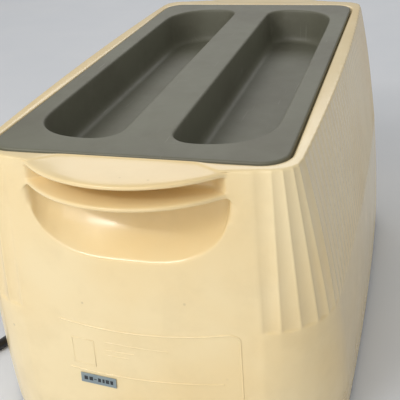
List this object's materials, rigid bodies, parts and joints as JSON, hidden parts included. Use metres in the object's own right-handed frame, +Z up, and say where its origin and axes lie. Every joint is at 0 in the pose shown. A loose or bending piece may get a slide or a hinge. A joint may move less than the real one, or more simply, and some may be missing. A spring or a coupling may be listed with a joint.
{
  "type": "electric eraser base unit",
  "caption": "Cream desk-standing erasing machine base: grey two-trough tray on top, a carry lip at each end, pleated flared sides, mains cord and a rear drive outlet for a flexible shaft.",
  "frame": {"origin": "on the table, under the middle of the housing", "axes": "+Z up; +Y along the housing to the end with the drive outlet; +X to the right of the near end"},
  "size_m": [0.365, 0.428, 0.195],
  "materials": {
    "cream_abs": "moulded, satin gloss, slightly yellowed",
    "grey_abs": "fine spark texture",
    "plated_steel": "zinc plated sheet",
    "black_rubber": "moulded",
    "zinc_steel": "zinc plated",
    "foil_sticker": null,
    "laminations": "stacked laminations",
    "copper_wire": "enamelled winding wire",
    "cast_aluminium": "die cast",
    "bearing_steel": "ground steel",
    "black_plastic": "moulded",
    "dark_paint": "semi-matt paint",
    "brass": "turned",
    "white_nylon": "moulded",
    "capacitor_can": "drawn can",
    "wire_pvc": "insulated wire",
    "black_pvc": "smooth flexible PVC",
    "grey_tie": "twist tie"
  },
  "bodies": {
    "base": {"housing": "cream_abs", "base_pan": "plated_steel", "foot_near_left": "black_rubber", "foot_near_right": "black_rubber", "foot_far_left": "black_rubber", "foot_far_right": "black_rubber", "foot_screws": "zinc_steel", "base_screws": "zinc_steel", "identity_sticker": "foil_sticker", "motor_bracket": "plated_steel", "motor_stator": "laminations", "motor_windings": "copper_wire", "end_bell_near": "cast_aluminium", "end_bell_far": "cast_aluminium", "motor_bearings": "bearing_steel", "motor_screws": "zinc_steel", "drive_belt": "black_rubber", "spindle_block": "cast_aluminium", "spindle_bearings": "bearing_steel", "spindle_screws": "zinc_steel", "outlet_plate": "dark_paint", "outlet_ferrule": "brass", "plate_screws": "zinc_steel", "switch_frame": "black_plastic", "terminal_block": "white_nylon", "terminal_screws": "brass", "run_capacitor": "capacitor_can", "capacitor_strap": "plated_steel", "wiring": "wire_pvc", "strain_relief": "black_pvc", "mains_cord": "black_pvc", "cord_coil": "black_pvc", "cord_tie": "grey_tie", "plug_body": "black_pvc", "plug_blades": "brass"},
    "tray": {"tray": "grey_abs"},
    "rotor": {"motor_shaft": "bearing_steel", "rotor_core": "laminations", "cooling_fan": "black_plastic", "drive_pulley": "cast_aluminium"},
    "spindle": {"spindle_shaft": "bearing_steel", "driven_pulley": "cast_aluminium", "shaft_coupling": "bearing_steel"},
    "rocker": {"switch_rocker": "black_plastic"}
  },
  "joints": [
    {"name": "tray_lift", "type": "slide", "parent": "base", "child": "tray", "axis": [0, 0, 1], "range_m": [0, 0.045]},
    {"name": "rotor_spin", "type": "hinge", "parent": "base", "child": "rotor", "pos_m": [-0.032, 0, 0.062], "axis": [0, 1, 0], "continuous": true},
    {"name": "spindle_spin", "type": "hinge", "parent": "base", "child": "spindle", "pos_m": [0.03, 0, 0.072], "axis": [0, 1, 0], "continuous": true},
    {"name": "switch_rock", "type": "hinge", "parent": "base", "child": "rocker", "pos_m": [-0.026, 0.1835, 0.072], "axis": [1, 0, 0], "range_deg": [0, 20]}
  ],
  "couplings": [
    {"joint": "spindle_spin", "follows": "rotor_spin", "ratio": 0.525}
  ]
}
